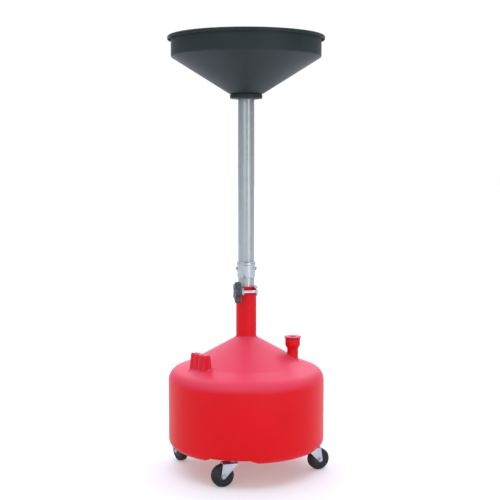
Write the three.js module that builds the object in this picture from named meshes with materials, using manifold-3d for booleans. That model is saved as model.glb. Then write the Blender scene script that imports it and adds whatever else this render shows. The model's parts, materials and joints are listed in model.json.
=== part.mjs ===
// Portable oil lift drain: a funnel bowl on a sliding steel mast, clamped in the neck of a
// poly tank that rolls on four swivel casters.
// Millimetres, +Z up. The origin is on the floor, under the mast's axis. The front is -Y.

import * as THREE from 'three';
import { mergeVertices } from 'three/addons/utils/BufferGeometryUtils.js';
import Module from 'manifold-3d';

const wasm = await Module();
wasm.setup();

// ---- Driving dimensions -------------------------------------------------------------------

const GAP = 0.3;              // clearance between pieces that touch
const THREAD = 0.05;          // clearance of a bore on the bolt that is screwed into it
const ROUND = 48;             // sides of a large turned piece
const TUBE_ROUND = 24;        // sides of the mast's tubes and of what fits them
const SMALL_ROUND = 12;       // sides of a small turned piece
const TURN = Math.PI * 2;

const tank = {
  radius: 205, wall: 4, floor: 60, floorCorner: 24, shoulderCorner: 33,
  creaseRadius: 150, creaseHeight: 281.5, // where the cone meets the flatter rim
  rimSlope: 0.39, coneSlope: 0.56,
  neckRadius: 26.8, neckBore: 21.7, neckTop: 484, neckFillet: 8,
  slotWidth: 3, slotBottom: 440,
};

const grip = {
  azimuth: 220, outerFace: 164, depth: 24, width: 66, bottom: 255, top: 321, wall: 5,
  corner: 5, bevel: 2, draft: 0.1,
  flutes: [-1, 0, 1], fluteRadius: 9, fluteDepth: 2.5, flutePitch: 20,
};

const spout = {
  azimuth: -8, reach: 123, neckRadius: 14.5, headRadius: 19.6, bottom: 275,
  taperBottom: 321, taperTop: 330, top: 348, bore: 10.6, headBore: 15.4,
};

const cap = {
  flangeRadius: 22.5, flange: 3, plugDepth: 12, plugChamfer: 1.5,
  recessRadius: 7, recessDepth: 10, gasket: 1.2,
};

const clamp = {
  azimuth: 280, bottom: 464, top: 484, thickness: 2.5, mouth: 32, earReach: 60,
  boltReach: 50, boltRadius: 4, headRadius: 9, headThickness: 4, headDome: 3,
  washerRadius: 9.5, washerThickness: 1.6,
};
clamp.middle = (clamp.bottom + clamp.top) / 2;

const knob = {
  lobes: 5, stepsPerLobe: 8, radius: 24, lobeHeight: 5, thickness: 18,
  hubRadius: 10, hubLength: 2, insertRadius: 6.5, insertLength: 11,
};

const mast = {
  radius: 21.2, wall: 1.6, bottom: 96, joint: 520, top: 994,
  sleeveRadius: 23.6, sleeveBottom: 507, sleeveTop: 548, sleeveBead: 8, beadRadius: 24.6,
  chamfer: 1,
  screwHeight: 530, screwRadius: 2.5, screwHeadRadius: 4.5, screwHead: 4,
};

const bowl = {
  rimRadius: 203, bandRadius: 194, wall: 3.5, rimTop: 1130, lipHeight: 9, lipThickness: 3,
  bandBottom: 1077.5, footRadius: 44, foot: 984, hole: 21.6,
  collarRadius: 42, collarBottom: 970, collarChamfer: 2, gasketRadius: 40, gasket: 1.6,
  lockRadius: 36, lockHeight: 7, lockNotches: 4, notchWidth: 8, notchDepth: 5,
  strainerRadius: 35, strainer: 1.5, strainerHole: 2.2, strainerRings: [6, 12], ringPitch: 7,
};

const caster = {
  names: ['front', 'right', 'rear', 'left'],
  firstAzimuth: 258.5, ring: 168,
  trailAzimuths: [198, 22, 75, 122], // where each wheel has swung to
  pocketRadius: 58, pocketTop: 72, pocketSlope: 1.2, bossRadius: 14, bossTop: 97, trail: 27,
  wheelRadius: 28.5, wheelSides: 24, tyreWidth: 22, tyreShoulder: 3,
  hubRadius: 16, hubWidth: 24, hubFace: 8, hubDish: 3,
  axleRadius: 3, axleHead: 5.5, axleHeadThickness: 2.5, axleTip: 4.5, nutThickness: 3.5,
  forkThickness: 2, forkEnd: 6.5, crownTop: 61.5, crownThickness: 3,
  crownBack: 10, legBack: 7, crownFront: 29,
  bearingRadius: 10.5, bearingTop: 66.2, flangeRadius: 10.5, flangeTop: 69, spacerRadius: 8,
  stemRadius: 5, stemHead: 7.5, stemHeadThickness: 2, stemTop: 89,
  insertRadius: 8, insertTop: 95,
};
caster.crownBottom = caster.crownTop - caster.crownThickness;
// A tyre is faceted, and stands on one flat facet.
caster.axleHeight = caster.wheelRadius * Math.cos(Math.PI / caster.wheelSides);

// ---- Materials ----------------------------------------------------------------------------

const finish = (color, roughness, metalness = 0) => (
  new THREE.MeshStandardMaterial({ color, roughness, metalness })
);
const redPoly = finish(0xd81e28, 0.42);
const blackPoly = finish(0x2c3236, 0.5);
const blackRubber = finish(0x24262a, 0.8);
const knobPlastic = finish(0x3a424c, 0.45);
const zincSteel = finish(0xb2bac0, 0.38, 0.9);
const brass = finish(0xb89a5a, 0.35, 0.9);

// ---- Solids: closed meshes that can be joined and cut ---------------------------------------

function solidOf(geometry) {
  const bare = geometry.index ? geometry.toNonIndexed() : geometry.clone();
  bare.deleteAttribute('normal');
  bare.deleteAttribute('uv');
  const merged = mergeVertices(bare, 1e-3);
  return new wasm.Manifold(new wasm.Mesh({
    numProp: 3,
    vertProperties: merged.attributes.position.array,
    triVerts: new Uint32Array(merged.index.array),
  }));
}

function geometryOf(solid) {
  const mesh = solid.getMesh();
  const geometry = new THREE.BufferGeometry();
  geometry.setAttribute('position', new THREE.BufferAttribute(mesh.vertProperties, 3));
  geometry.setIndex(new THREE.BufferAttribute(mesh.triVerts, 1));
  geometry.computeVertexNormals();
  return geometry;
}

const joined = (...solids) => solids.reduce((sum, solid) => sum.add(solid));
const cut = (solid, ...tools) => tools.reduce((rest, tool) => rest.subtract(tool), solid);

// ---- Outlines -------------------------------------------------------------------------------

// Turns a list of [x, y, radius] corners into points, with an arc at each corner that has a radius.
function outline(corners, arcSteps = 4) {
  const points = [];
  corners.forEach(([x, y, radius = 0], i) => {
    const corner = new THREE.Vector2(x, y);
    if (radius === 0) {
      points.push(corner);
      return;
    }
    const before = corners[(i + corners.length - 1) % corners.length];
    const after = corners[(i + 1) % corners.length];
    const back = new THREE.Vector2(before[0] - x, before[1] - y).normalize();
    const ahead = new THREE.Vector2(after[0] - x, after[1] - y).normalize();
    const half = Math.acos(back.dot(ahead)) / 2;
    const centre = back.clone().add(ahead).normalize()
      .multiplyScalar(radius / Math.sin(half)).add(corner);
    const start = back.multiplyScalar(radius / Math.tan(half)).add(corner).sub(centre);
    const end = ahead.multiplyScalar(radius / Math.tan(half)).add(corner).sub(centre);
    const sweep = Math.atan2(start.cross(end), start.dot(end));
    for (let step = 0; step <= arcSteps; step += 1) {
      const point = start.clone().rotateAround(new THREE.Vector2(), (sweep * step) / arcSteps);
      points.push(point.add(centre));
    }
  });
  return points;
}

// A solid turned about Z from a profile of [radius, height] corners.
function turned(corners, sides = ROUND, arcSteps = 4) {
  const points = outline(corners, arcSteps);
  if (THREE.ShapeUtils.area(points) < 0) points.reverse();
  if (points[0].x > 0 || points[points.length - 1].x > 0) points.push(points[0].clone());
  return solidOf(new THREE.LatheGeometry(points, sides).rotateX(Math.PI / 2));
}

// A round bar along Z.
function bar(radius, bottom, top, sides = SMALL_ROUND) {
  return turned([[0, bottom], [radius, bottom], [radius, top], [0, top]], sides);
}

// A round tube along Z.
function tube(outer, inner, bottom, top, sides = SMALL_ROUND) {
  return turned([[inner, bottom], [outer, bottom], [outer, top], [inner, top]], sides);
}

// A rectangular block between two corners.
function block(low, high) {
  const size = high.map((value, i) => value - low[i]);
  const geometry = new THREE.BoxGeometry(...size);
  geometry.translate(...low.map((value, i) => value + size[i] / 2));
  return solidOf(geometry);
}

// A plate whose outline lies in the XY plane, from one height to another.
function plate(points, bottom, top) {
  const shape = new THREE.Shape(points);
  const geometry = new THREE.ExtrudeGeometry(shape, { depth: top - bottom, bevelEnabled: false });
  return solidOf(geometry.translate(0, 0, bottom));
}

const radians = THREE.MathUtils.degToRad;
const around = (azimuth, reach) => [
  Math.cos(radians(azimuth)) * reach, Math.sin(radians(azimuth)) * reach,
];

// ---- Tank -----------------------------------------------------------------------------------

// The height, on the axis, of a sloping roof line that is moved inwards by an inset.
function roofAtAxis(slope, inset) {
  return tank.creaseHeight + slope * tank.creaseRadius - inset * Math.hypot(1, slope);
}

// The tank's profile: its outside, or its cavity where the inset is the wall.
function tankBody(inset, neckRadius, neckTop, sides) {
  const side = tank.radius - inset;
  const cone = roofAtAxis(tank.coneSlope, inset);
  const rim = roofAtAxis(tank.rimSlope, inset);
  const crease = (cone - rim) / (tank.coneSlope - tank.rimSlope);
  return turned([
    [0, tank.floor + inset],
    [side, tank.floor + inset, tank.floorCorner - inset],
    [side, rim - tank.rimSlope * side, tank.shoulderCorner - inset],
    [crease, cone - tank.coneSlope * crease],
    [neckRadius, cone - tank.coneSlope * neckRadius, tank.neckFillet],
    [neckRadius, neckTop],
    [0, neckTop],
  ], sides);
}

const gripMiddle = grip.outerFace - grip.depth / 2;

// The grip's block, drafted on every side, with its outer face towards +X.
function gripBlock(inset) {
  const halfWidth = grip.width / 2 - inset;
  const face = grip.outerFace - inset;
  const back = grip.outerFace - grip.depth + inset;
  const corner = grip.corner - inset / 2;
  const points = outline([
    [back, -halfWidth, corner], [face, -halfWidth, corner],
    [face, halfWidth, corner], [back, halfWidth, corner],
  ], 3);
  const geometry = new THREE.ExtrudeGeometry(new THREE.Shape(points), {
    depth: grip.top - grip.bottom - inset,
    bevelEnabled: true, bevelSegments: 1,
    bevelThickness: grip.bevel, bevelSize: grip.bevel, bevelOffset: -grip.bevel,
  });
  const position = geometry.attributes.position;
  for (let i = 0; i < position.count; i += 1) {
    const lean = grip.draft * position.getZ(i);
    position.setX(i, position.getX(i) - Math.sign(position.getX(i) - gripMiddle) * lean);
    position.setY(i, position.getY(i) - Math.sign(position.getY(i)) * lean);
  }
  return solidOf(geometry.translate(0, 0, grip.bottom - grip.bevel));
}

// The upright finger flutes: some along the grip's outer face and one in each end.
function gripFlutes() {
  const leanHalfWayUp = (grip.draft * (grip.top - grip.bottom)) / 2;
  const beyond = grip.fluteRadius - grip.fluteDepth - leanHalfWayUp;
  const flute = bar(grip.fluteRadius, grip.bottom, grip.top + grip.bevel, 8);
  const alongFace = grip.flutes.map((lane) => (
    flute.translate([grip.outerFace + beyond, lane * grip.flutePitch, 0])
  ));
  const atEnds = [-1, 1].map((side) => (
    flute.translate([gripMiddle, side * (grip.width / 2 + beyond), 0])
  ));
  return joined(...alongFace, ...atEnds);
}

const turnedTo = (solid, azimuth) => solid.rotate([0, 0, azimuth]);

const casterAzimuth = (index) => caster.firstAzimuth + index * 90;

function atCasters(solid) {
  return joined(...caster.names.map((name, i) => (
    solid.translate([...around(casterAzimuth(i), caster.ring), 0])
  )));
}

// The space above a caster, with a wall that slopes outwards to the tank's floor.
function pocket(offset) {
  const radius = caster.pocketRadius + offset;
  const top = caster.pocketTop + offset;
  const bottom = tank.floor - 10;
  return turned([
    [0, bottom], [radius + caster.pocketSlope * (top - bottom), bottom], [radius, top], [0, top],
  ], TUBE_ROUND);
}

function tankSolid() {
  const spoutPlace = [...around(spout.azimuth, spout.reach), 0];
  const spoutOutside = turned([
    [0, spout.bottom], [spout.neckRadius, spout.bottom], [spout.neckRadius, spout.taperBottom],
    [spout.headRadius, spout.taperTop], [spout.headRadius, spout.top], [0, spout.top],
  ], TUBE_ROUND).translate(spoutPlace);
  const spoutBore = turned([
    [0, spout.bottom - 10], [spout.bore, spout.bottom - 10], [spout.bore, spout.taperBottom],
    [spout.headBore, spout.taperTop], [spout.headBore, spout.top + 5], [0, spout.top + 5],
  ], TUBE_ROUND).translate(spoutPlace);
  const gripOutside = turnedTo(cut(gripBlock(0), gripFlutes()), grip.azimuth);
  const gripInside = turnedTo(gripBlock(grip.wall), grip.azimuth);
  const outside = joined(
    tankBody(0, tank.neckRadius, tank.neckTop, ROUND), spoutOutside, gripOutside,
  );
  const pockets = atCasters(pocket(0));
  const pocketShells = atCasters(joined(
    pocket(tank.wall),
    bar(caster.bossRadius, tank.floor - 10, caster.bossTop + tank.wall, SMALL_ROUND),
  ));
  const insertHoles = atCasters(bar(caster.insertRadius + GAP, tank.floor, caster.bossTop));
  const hollow = tankBody(tank.wall, tank.neckBore, tank.neckTop + 10, TUBE_ROUND);
  const cavity = cut(joined(hollow, spoutBore, gripInside), pocketShells);
  const slots = block(
    [-tank.neckRadius - 5, -tank.slotWidth / 2, tank.slotBottom],
    [tank.neckRadius + 5, tank.slotWidth / 2, tank.neckTop + 5],
  ).rotate([0, 0, clamp.azimuth - 90]);
  return cut(outside, cavity, pockets, insertHoles, slots);
}

// ---- Spout cap ------------------------------------------------------------------------------

function capSolid() {
  const seat = spout.top + GAP + cap.gasket + GAP;
  const top = seat + cap.flange;
  const plugRadius = spout.headBore - GAP;
  const plugBottom = spout.top - cap.plugDepth;
  return turned([
    [0, plugBottom],
    [plugRadius - cap.plugChamfer, plugBottom],
    [plugRadius, plugBottom + cap.plugChamfer],
    [plugRadius, seat],
    [cap.flangeRadius, seat],
    [cap.flangeRadius, top],
    [cap.recessRadius, top],
    [cap.recessRadius, top - cap.recessDepth],
    [0, top - cap.recessDepth],
  ], TUBE_ROUND);
}

function capGasketSolid() {
  const bottom = spout.top + GAP;
  return tube(spout.headRadius, spout.headBore, bottom, bottom + cap.gasket, TUBE_ROUND);
}

// ---- Clamp: a strap round the neck, its two ears drawn together by a bolt and a knob --------
// Its solids are made with the ears towards +X and the bolt along Y.

// Lays a solid that was turned about Z along the bolt, with its top towards -Y.
function alongBolt(solid) {
  return solid.rotate([90, 0, 0]).translate([clamp.boltReach, 0, clamp.middle]);
}

function bandSolid() {
  const inner = tank.neckRadius + GAP;
  const outer = inner + clamp.thickness;
  const ring = tube(outer, inner, clamp.bottom, clamp.top, TUBE_ROUND);
  const half = clamp.mouth / 2;
  const mouth = block([0, -half, clamp.bottom - 1], [outer + 5, half, clamp.top + 1]);
  const earStart = Math.sqrt((inner + clamp.thickness / 2) ** 2 - (half + clamp.thickness / 2) ** 2);
  const ear = (from, to) => (
    block([earStart, from, clamp.bottom], [clamp.earReach, to, clamp.top])
  );
  const ears = joined(
    ear(half, half + clamp.thickness),
    ear(-half - clamp.thickness, -half),
  );
  const boltHole = alongBolt(bar(clamp.boltRadius + GAP, -clamp.mouth, clamp.mouth));
  return cut(joined(cut(ring, mouth), ears), boltHole);
}

const earOutside = clamp.mouth / 2 + clamp.thickness + GAP;
const washerFar = earOutside + clamp.washerThickness;
const knobNear = washerFar + GAP;
const insertNear = knobNear + knob.hubLength;

function boltSolid() {
  const tip = insertNear + knob.insertLength;
  return alongBolt(turned([
    [0, -earOutside - clamp.headThickness],
    [clamp.headRadius - clamp.headDome, -earOutside - clamp.headThickness],
    [clamp.headRadius, -earOutside - clamp.headThickness + clamp.headDome],
    [clamp.headRadius, -earOutside],
    [clamp.boltRadius, -earOutside],
    [clamp.boltRadius, tip],
    [0, tip],
  ], SMALL_ROUND));
}

function washerSolid() {
  return alongBolt(tube(clamp.washerRadius, clamp.boltRadius + GAP, earOutside, washerFar));
}

function knobSolid() {
  const points = [];
  const steps = knob.lobes * knob.stepsPerLobe;
  for (let i = 0; i < steps; i += 1) {
    const angle = (i / steps) * TURN;
    const radius = knob.radius + knob.lobeHeight * Math.cos(knob.lobes * angle);
    points.push(new THREE.Vector2(radius * Math.cos(angle), radius * Math.sin(angle)));
  }
  const head = plate(points, insertNear, insertNear + knob.thickness);
  const hub = bar(knob.hubRadius, knobNear, insertNear + 1);
  const boltHole = bar(clamp.boltRadius + GAP, 0, insertNear + 1);
  const insertSeat = bar(knob.insertRadius + GAP, insertNear, insertNear + knob.insertLength);
  return alongBolt(cut(joined(head, hub), boltHole, insertSeat));
}

function knobInsertSolid() {
  const start = insertNear + GAP;
  const end = insertNear + knob.insertLength - GAP;
  return alongBolt(tube(knob.insertRadius, clamp.boltRadius + THREAD, start, end));
}

// ---- Mast: two tubes joined by a sleeve with two opposed set screws -------------------------

function mastTube(bottom, top) {
  return tube(mast.radius, mast.radius - mast.wall, bottom, top, TUBE_ROUND);
}

function sleeveSolid() {
  const inner = mast.radius + GAP;
  const shell = turned([
    [inner, mast.sleeveBottom],
    [mast.sleeveRadius - mast.chamfer, mast.sleeveBottom],
    [mast.sleeveRadius, mast.sleeveBottom + mast.chamfer],
    [mast.sleeveRadius, mast.sleeveTop - mast.sleeveBead],
    [mast.beadRadius, mast.sleeveTop - mast.sleeveBead + mast.chamfer],
    [mast.beadRadius, mast.sleeveTop - mast.chamfer],
    [mast.beadRadius - mast.chamfer, mast.sleeveTop],
    [inner, mast.sleeveTop],
  ], TUBE_ROUND);
  const holes = bar(mast.screwRadius + GAP, -40, 40)
    .rotate([0, 90, 0]).translate([0, 0, mast.screwHeight]);
  return cut(shell, holes);
}

function setScrewSolid(side) {
  const tip = mast.radius + GAP;
  const seat = mast.sleeveRadius + GAP;
  const screw = turned([
    [0, tip], [mast.screwRadius, tip], [mast.screwRadius, seat], [mast.screwHeadRadius, seat],
    [mast.screwHeadRadius, seat + mast.screwHead - mast.chamfer],
    [mast.screwHeadRadius - mast.chamfer, seat + mast.screwHead], [0, seat + mast.screwHead],
  ], SMALL_ROUND);
  return screw.rotate([0, side * 90, 0]).translate([0, 0, mast.screwHeight]);
}

// ---- Funnel ---------------------------------------------------------------------------------

function bowlSolid() {
  const slope = (bowl.bandBottom - bowl.foot) / (bowl.bandRadius - bowl.footRadius);
  const lift = bowl.wall * Math.hypot(1, slope);
  const inner = bowl.bandRadius - bowl.wall;
  const innerFoot = bowl.foot + bowl.wall;
  const innerFootRadius = bowl.footRadius + (bowl.wall - lift) / slope;
  const innerBandBottom = innerFoot + slope * (inner - innerFootRadius);
  const lipBottom = bowl.rimTop - bowl.lipHeight;
  return turned([
    [bowl.hole, bowl.foot],
    [bowl.footRadius, bowl.foot],
    [bowl.bandRadius, bowl.bandBottom],
    [bowl.bandRadius, bowl.rimTop - bowl.lipThickness],
    [bowl.rimRadius - bowl.lipThickness, bowl.rimTop - bowl.lipThickness],
    [bowl.rimRadius - bowl.lipThickness, lipBottom],
    [bowl.rimRadius, lipBottom],
    [bowl.rimRadius, bowl.rimTop],
    [inner, bowl.rimTop],
    [inner, innerBandBottom],
    [innerFootRadius, innerFoot],
    [bowl.hole, innerFoot],
  ]);
}

function collarSolid() {
  const top = bowl.foot - bowl.gasket - 2 * GAP;
  return turned([
    [bowl.hole, bowl.collarBottom],
    [bowl.collarRadius - bowl.collarChamfer, bowl.collarBottom],
    [bowl.collarRadius, bowl.collarBottom + bowl.collarChamfer],
    [bowl.collarRadius, top],
    [bowl.hole, top],
  ], TUBE_ROUND);
}

function bowlGasketSolid() {
  const bottom = bowl.foot - bowl.gasket - GAP;
  return tube(bowl.gasketRadius, bowl.hole, bottom, bottom + bowl.gasket, TUBE_ROUND);
}

const lockBottom = bowl.foot + bowl.wall + GAP;
const lockTop = lockBottom + bowl.lockHeight;

function lockRingSolid() {
  const ring = tube(bowl.lockRadius, bowl.hole, lockBottom, lockTop, TUBE_ROUND);
  const half = bowl.notchWidth / 2;
  const notch = block(
    [bowl.lockRadius - bowl.notchDepth, -half, lockBottom + GAP],
    [bowl.lockRadius + bowl.notchDepth, half, lockTop + GAP],
  );
  const notches = [];
  for (let i = 0; i < bowl.lockNotches; i += 1) {
    notches.push(turnedTo(notch, ((i + 0.5) * 360) / bowl.lockNotches));
  }
  return cut(ring, ...notches);
}

// A disc with a centre hole and rings of holes round it.
function strainerSolid() {
  const bottom = Math.max(lockTop, mast.top) + GAP;
  const top = bottom + bowl.strainer;
  const hole = bar(bowl.strainerHole, bottom - GAP, top + GAP, 6);
  const holes = [hole];
  bowl.strainerRings.forEach((count, ring) => {
    const reach = (ring + 1) * bowl.ringPitch;
    for (let i = 0; i < count; i += 1) {
      holes.push(hole.translate([...around((i * 360) / count, reach), 0]));
    }
  });
  return cut(bar(bowl.strainerRadius, bottom, top, TUBE_ROUND), ...holes);
}

// ---- Caster ---------------------------------------------------------------------------------
// Its solids are made with the swivel axis on Z and the wheel trailing towards +X.

function insertSolid() {
  return tube(
    caster.insertRadius, caster.stemRadius + THREAD, caster.pocketTop, caster.insertTop,
  );
}

// The fixed kingpin: its lower head holds the fork, its flange seats against the tank.
function stemSolid() {
  const headTop = caster.crownBottom - GAP;
  const flangeBottom = caster.bearingTop + GAP;
  const neckRadius = caster.stemRadius - GAP;
  return turned([
    [0, caster.crownBottom - caster.stemHeadThickness],
    [caster.stemHead, caster.crownBottom - caster.stemHeadThickness],
    [caster.stemHead, headTop],
    [neckRadius, headTop],
    [neckRadius, flangeBottom],
    [caster.flangeRadius, flangeBottom],
    [caster.flangeRadius, caster.flangeTop],
    [caster.spacerRadius, caster.flangeTop],
    [caster.spacerRadius, caster.pocketTop - GAP],
    [caster.stemRadius, caster.pocketTop - GAP],
    [caster.stemRadius, caster.stemTop],
    [0, caster.stemTop],
  ], SMALL_ROUND);
}

function bearingSolid() {
  const bottom = caster.crownTop + GAP;
  const middle = (bottom + caster.bearingTop) / 2;
  return turned([
    [caster.stemRadius + GAP, bottom],
    [caster.bearingRadius - 1, bottom],
    [caster.bearingRadius, middle],
    [caster.bearingRadius - 1, caster.bearingTop],
    [caster.stemRadius + GAP, caster.bearingTop],
  ], SMALL_ROUND);
}

const legGap = caster.hubWidth / 2 + GAP;
const legOutside = legGap + caster.forkThickness;

// Lays a solid that was turned about Z along the axle, with its top towards -Y.
function alongAxle(solid) {
  return solid.rotate([90, 0, 0]).translate([caster.trail, 0, caster.axleHeight]);
}

function forkSolid() {
  const side = new THREE.Shape();
  side.moveTo(-caster.legBack, caster.crownBottom);
  side.lineTo(-caster.legBack, caster.crownTop);
  side.lineTo(caster.crownFront, caster.crownTop);
  side.absarc(caster.trail, caster.axleHeight, caster.forkEnd, radians(10), radians(-160), true);
  const leg = plate(side.getPoints(4), 0, caster.forkThickness).rotate([90, 0, 0]);
  const crown = block(
    [-caster.crownBack, -legOutside, caster.crownBottom],
    [caster.crownFront, legOutside, caster.crownTop],
  );
  const kingpinHole = bar(caster.stemRadius + GAP, caster.axleHeight, caster.flangeTop);
  const axleHole = alongAxle(bar(caster.axleRadius + GAP, -2 * legOutside, 2 * legOutside));
  const legs = joined(leg.translate([0, legOutside, 0]), leg.translate([0, -legGap, 0]));
  return cut(joined(crown, legs), kingpinHole, axleHole);
}

const axleSeat = legOutside + GAP;

function axleSolid() {
  const headEnd = -axleSeat - caster.axleHeadThickness;
  return alongAxle(turned([
    [0, headEnd],
    [caster.axleHead - 1, headEnd],
    [caster.axleHead, headEnd + 1],
    [caster.axleHead, -axleSeat],
    [caster.axleRadius, -axleSeat],
    [caster.axleRadius, axleSeat + caster.axleTip],
    [0, axleSeat + caster.axleTip],
  ], SMALL_ROUND));
}

function axleNutSolid() {
  const nut = bar(caster.axleHead, axleSeat, axleSeat + caster.nutThickness, 6);
  const hole = bar(caster.axleRadius + THREAD, 0, axleSeat + caster.axleTip);
  return alongAxle(cut(nut, hole));
}

// The phase puts a flat facet at the bottom of the tyre.
function wheelPiece(corners) {
  return alongAxle(turned(corners, caster.wheelSides).rotate([0, 0, 180 / caster.wheelSides]));
}

function tyreSolid() {
  const half = caster.tyreWidth / 2;
  const shoulder = caster.tyreShoulder;
  const inner = caster.hubRadius + GAP;
  return wheelPiece([
    [inner, -half],
    [caster.wheelRadius - shoulder, -half],
    [caster.wheelRadius, -half + shoulder],
    [caster.wheelRadius, half - shoulder],
    [caster.wheelRadius - shoulder, half],
    [inner, half],
  ]);
}

function hubSolid() {
  const half = caster.hubWidth / 2;
  const bore = caster.axleRadius + THREAD;
  return wheelPiece([
    [bore, -half],
    [caster.hubFace, -half],
    [caster.hubRadius, -half + caster.hubDish],
    [caster.hubRadius, half - caster.hubDish],
    [caster.hubFace, half],
    [bore, half],
  ]);
}

// ---- Assembly -------------------------------------------------------------------------------

function piece(name, solid, material) {
  const mesh = new THREE.Mesh(geometryOf(solid), material);
  mesh.name = name;
  return mesh;
}

// A group of pieces made about Z, moved out from the mast's axis.
function placed(azimuth, reach, pieces) {
  const group = new THREE.Group();
  const [x, y] = around(azimuth, reach);
  group.position.set(x, y, 0);
  group.add(...pieces);
  return group;
}

function tankGroup() {
  const group = new THREE.Group();
  const spoutCap = placed(spout.azimuth, spout.reach, [
    piece('spout_cap', capSolid(), redPoly),
    piece('spout_cap_gasket', capGasketSolid(), blackRubber),
  ]);
  group.add(piece('tank', tankSolid(), redPoly), spoutCap);
  return group;
}

function clampGroup() {
  const group = new THREE.Group();
  group.add(
    piece('clamp_band', bandSolid(), zincSteel),
    piece('clamp_bolt', boltSolid(), zincSteel),
    piece('clamp_washer', washerSolid(), zincSteel),
    piece('clamp_knob', knobSolid(), knobPlastic),
    piece('clamp_knob_insert', knobInsertSolid(), brass),
  );
  group.rotation.z = radians(clamp.azimuth);
  return group;
}

function mastGroup() {
  const group = new THREE.Group();
  group.add(
    piece('drop_tube', mastTube(mast.bottom, mast.joint - GAP), zincSteel),
    piece('upper_tube', mastTube(mast.joint + GAP, mast.top), zincSteel),
    piece('coupling_sleeve', sleeveSolid(), zincSteel),
    piece('set_screw_right', setScrewSolid(1), zincSteel),
    piece('set_screw_left', setScrewSolid(-1), zincSteel),
    piece('funnel_bowl', bowlSolid(), blackPoly),
    piece('funnel_collar', collarSolid(), blackPoly),
    piece('funnel_gasket', bowlGasketSolid(), blackRubber),
    piece('funnel_lock_ring', lockRingSolid(), blackPoly),
    piece('funnel_strainer', strainerSolid(), zincSteel),
  );
  return group;
}

function casterGroup(name, azimuth, trailAzimuth) {
  const label = (part) => `caster_${name}_${part}`;
  const swivel = new THREE.Group();
  swivel.add(
    piece(label('fork'), forkSolid(), zincSteel),
    piece(label('axle'), axleSolid(), zincSteel),
    piece(label('axle_nut'), axleNutSolid(), zincSteel),
    piece(label('tyre'), tyreSolid(), blackRubber),
    piece(label('hub'), hubSolid(), blackPoly),
  );
  swivel.rotation.z = radians(trailAzimuth);
  return placed(azimuth, caster.ring, [
    piece(label('insert'), insertSolid(), brass),
    piece(label('stem'), stemSolid(), zincSteel),
    piece(label('bearing'), bearingSolid(), zincSteel),
    swivel,
  ]);
}

const liftDrain = new THREE.Group();
liftDrain.add(tankGroup(), clampGroup(), mastGroup());
caster.names.forEach((name, i) => {
  liftDrain.add(casterGroup(name, casterAzimuth(i), caster.trailAzimuths[i]));
});

export default liftDrain;
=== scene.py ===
"""Looks of a portable oil lift drain: red poly tank on casters, steel mast and black funnel bowl."""

import json
import math

import bmesh
import bpy
from mathutils import Matrix, Vector


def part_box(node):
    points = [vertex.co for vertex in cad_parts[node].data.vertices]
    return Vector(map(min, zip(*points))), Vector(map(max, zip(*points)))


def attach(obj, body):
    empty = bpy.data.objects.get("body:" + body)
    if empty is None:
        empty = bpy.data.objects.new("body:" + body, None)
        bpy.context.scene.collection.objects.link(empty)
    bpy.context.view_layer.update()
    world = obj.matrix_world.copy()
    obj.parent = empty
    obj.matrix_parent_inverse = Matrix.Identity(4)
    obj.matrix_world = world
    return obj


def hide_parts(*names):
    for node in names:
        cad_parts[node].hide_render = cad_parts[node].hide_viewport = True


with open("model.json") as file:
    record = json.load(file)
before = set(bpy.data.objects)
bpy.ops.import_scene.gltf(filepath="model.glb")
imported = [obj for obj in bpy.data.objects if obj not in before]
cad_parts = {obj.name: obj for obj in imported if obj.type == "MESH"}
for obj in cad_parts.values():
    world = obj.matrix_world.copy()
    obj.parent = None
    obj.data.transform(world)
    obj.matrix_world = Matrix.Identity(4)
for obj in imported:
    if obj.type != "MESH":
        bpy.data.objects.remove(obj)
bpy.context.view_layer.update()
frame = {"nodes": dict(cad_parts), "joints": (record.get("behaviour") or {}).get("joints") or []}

MM = 0.001
TURN = 2 * math.pi

# ---- Sizes, in millimetres, where the frame's boxes don't give them --------------------------

GAP = 0.3  # clearance between pieces that touch
CUT = 5  # how far a cutter reaches past what it cuts
CUTTER = 30  # half the length of a cutter right across the clamp or a wheel
FINE_EDGE, EDGE, SOFT_EDGE = 0.3, 0.6, 1  # roundings of machined and moulded edges

TANK_WALL = 4
FLOOR_CORNER = 24
SHOULDER_CORNER = 33
CREASE_RADIUS, CREASE_HEIGHT, CREASE_CORNER = 150, 281.5, 60
RIM_SLOPE, CONE_SLOPE = 0.39, 0.56
NECK_RADIUS, NECK_BORE, NECK_FILLET, NECK_LIP = 26.8, 21.7, 9, 1.2
NECK_SLOT_WIDTH, NECK_SLOT_LENGTH, NECK_SLOT_BOTTOM = 3, 80, 440

GRIP_AZIMUTH, GRIP_FACE, GRIP_DEPTH, GRIP_WIDTH, GRIP_TOP = 220, 164, 24, 66, 321
GRIP_CORNER, GRIP_DRAFT, GRIP_FILLET, GRIP_EDGE, GRIP_CROWN = 5, 0.1, 8, 3, 1.5
GRIP_STEP = 1.5  # between points of its plan
FLUTE_LANES, FLUTE_PITCH, FLUTE_HALF_WIDTH, FLUTE_DEPTH = (-1, 0, 1), 20, 6.2, 2.6
FOOT_SINK, FOOT_DEPTH = 2, 12  # how far a fillet's edge and its foot go below the roof

SPOUT_NECK, SPOUT_HEAD, SPOUT_BORE, SPOUT_HEAD_BORE = 14.5, 19.6, 10.6, 15.4
SPOUT_TAPER_BOTTOM, SPOUT_TAPER_TOP, SPOUT_TOP, SPOUT_FILLET = 321, 330, 348, 6
SPOUT_BORE_BOTTOM = 265
PLUG_RADIUS, PLUG_CHAMFER, CAP_RADIUS, CAP_FLANGE = 15.1, 1.5, 22.5, 3
RECESS_RADIUS, RECESS_DEPTH, RECESS_MOUTH = 7, 10, 9.5

POCKET_BOTTOM, POCKET_RADIUS, POCKET_TOP, POCKET_SLOPE, POCKET_EDGE = 40, 58, 72, 1.2, 4
BOSS_RADIUS, INSERT_HOLE, INSERT_HOLE_TOP = 14, 8.3, 97

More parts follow.
